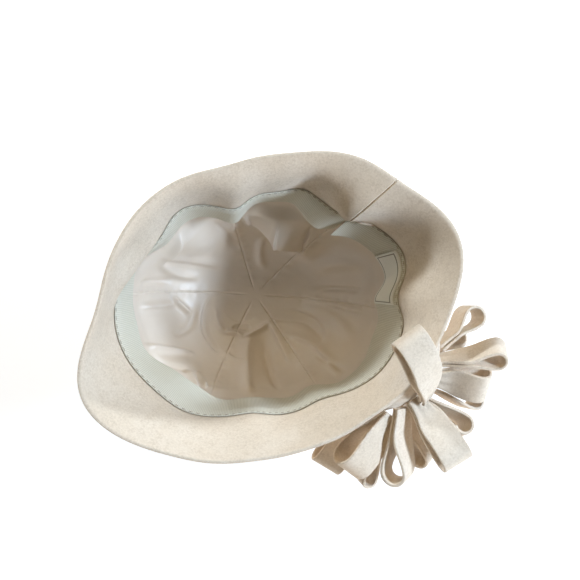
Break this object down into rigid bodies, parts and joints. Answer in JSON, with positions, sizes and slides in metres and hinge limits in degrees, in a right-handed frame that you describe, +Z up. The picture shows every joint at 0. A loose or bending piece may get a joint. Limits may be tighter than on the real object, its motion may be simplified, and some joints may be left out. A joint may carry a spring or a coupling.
{
  "type": "cloche hat",
  "caption": "Soft felt cloche hat lying mouth up on its crown, with a flared brim, ribbon sweatband, gored satin lining, plain woven tag and a cluster of felt loops on one side.",
  "frame": {"origin": "middle of the flattened patch of the crown that the hat rests on, on the floor", "axes": "+Z up out of the hat's mouth, +X along the longer side of the head oval towards the trimmed side, +Y towards the back seam"},
  "size_m": [0.2721, 0.2205, 0.1713],
  "materials": {
    "felt": "cream wool felt, soft and matte",
    "satin": "ivory satin with a soft sheen",
    "ribbon": "pale grosgrain ribbon with fine cross ribs",
    "tag_cloth": "plain woven ivory tape"
  },
  "bodies": {
    "root": {"crown": "felt", "brim": "felt", "lining": "satin", "sweatband": "ribbon", "tag": "tag_cloth", "loop_pad": "felt", "loop_over_brim": "felt", "loop_front": "felt", "loop_front_low": "felt", "loop_corner": "felt", "loop_corner_low": "felt", "loop_right_thin": "felt", "loop_right_flat": "felt", "loop_right_upper": "felt", "loop_back_upper": "felt", "loop_back_low": "felt", "loop_left_long": "felt", "loop_left_narrow": "felt", "loop_left_wide": "felt", "loop_left_low": "felt"}
  },
  "joints": []
}
